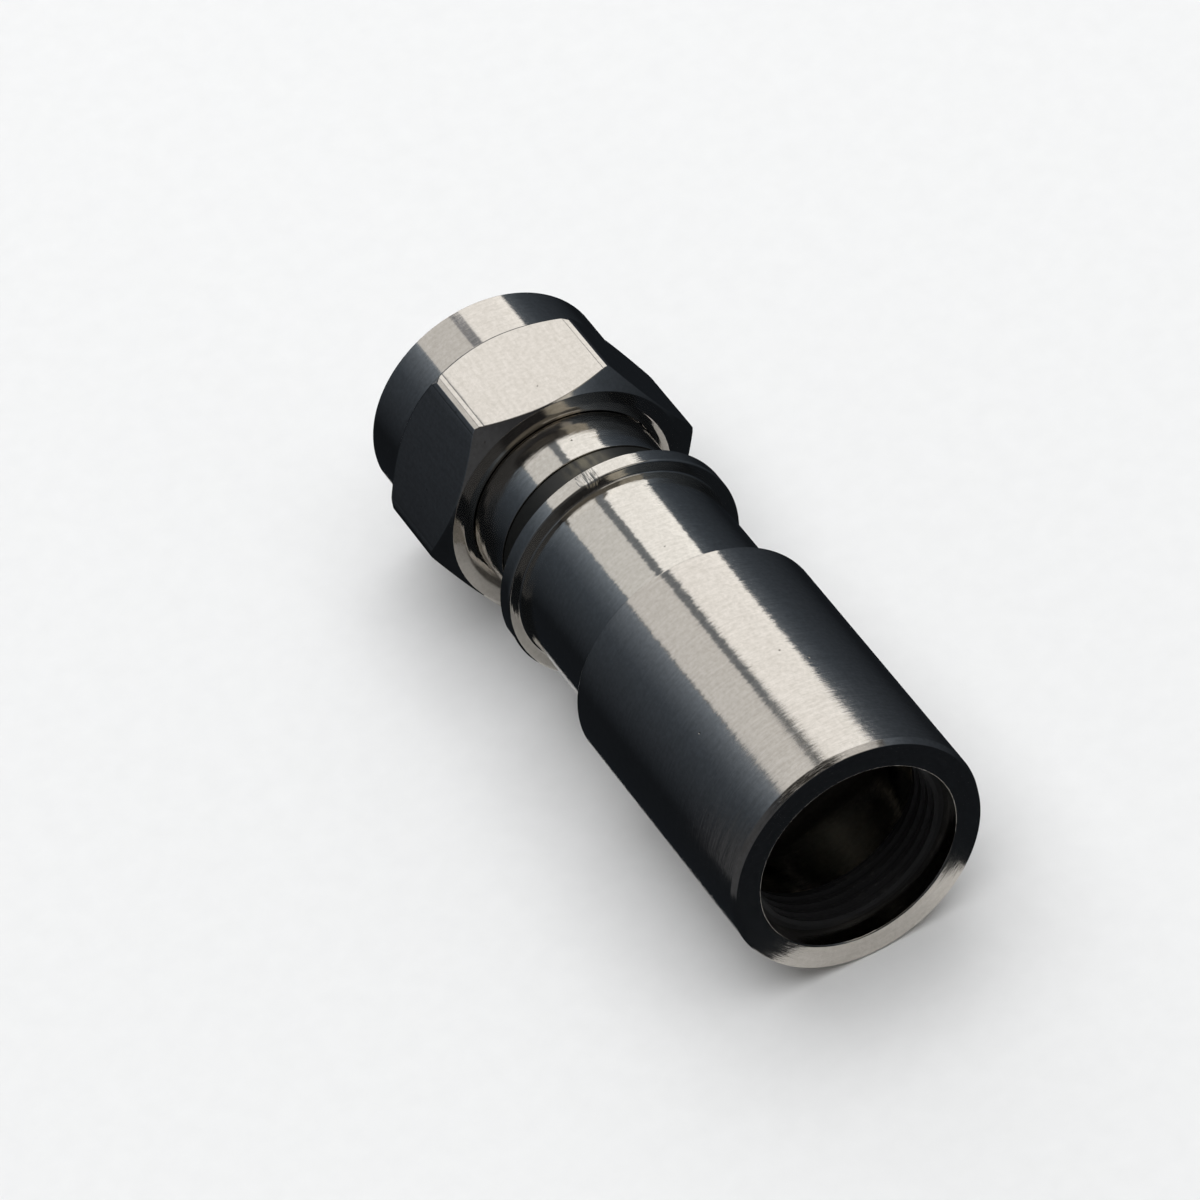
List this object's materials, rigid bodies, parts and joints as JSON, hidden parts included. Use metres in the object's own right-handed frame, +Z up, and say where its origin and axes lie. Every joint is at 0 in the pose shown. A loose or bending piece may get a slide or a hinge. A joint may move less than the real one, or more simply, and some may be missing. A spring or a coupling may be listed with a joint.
{
  "type": "f-type compression connector",
  "caption": "Coaxial cable end connector: a swivelling hexagon nut with an internal thread, a flanged body over a barbed post, and a rear sleeve that slides forward to grip the cable.",
  "frame": {"origin": "on the plane that the connector lies on, below the middle of its length", "axes": "+X along the connector's axis from the mating end of the nut to the open cable end, +Z up through the upper flat of the nut"},
  "size_m": [0.0332, 0.0128, 0.0114],
  "materials": {
    "nickel_plated_brass": "nickel plated over fine turning marks, satin bright",
    "tin_plated_brass": "tin plated, satin",
    "black_acetal": "moulded",
    "black_rubber": "moulded, matt"
  },
  "bodies": {
    "body": {"connector_body": "nickel_plated_brass", "center_post": "tin_plated_brass", "groove_band": "black_rubber", "nut_seal_ring": "black_rubber"},
    "nut": {"coupling_nut": "nickel_plated_brass"},
    "sleeve": {"compression_sleeve": "nickel_plated_brass", "grip_ring": "black_acetal"}
  },
  "joints": [
    {"name": "nut_swivel", "type": "hinge", "parent": "body", "child": "nut", "pos_m": [-0.0115, 0, 0.0057], "axis": [1, 0, 0], "continuous": true},
    {"name": "sleeve_slide", "type": "slide", "parent": "body", "child": "sleeve", "axis": [-1, 0, 0], "range_m": [0, 0.0066]}
  ]
}
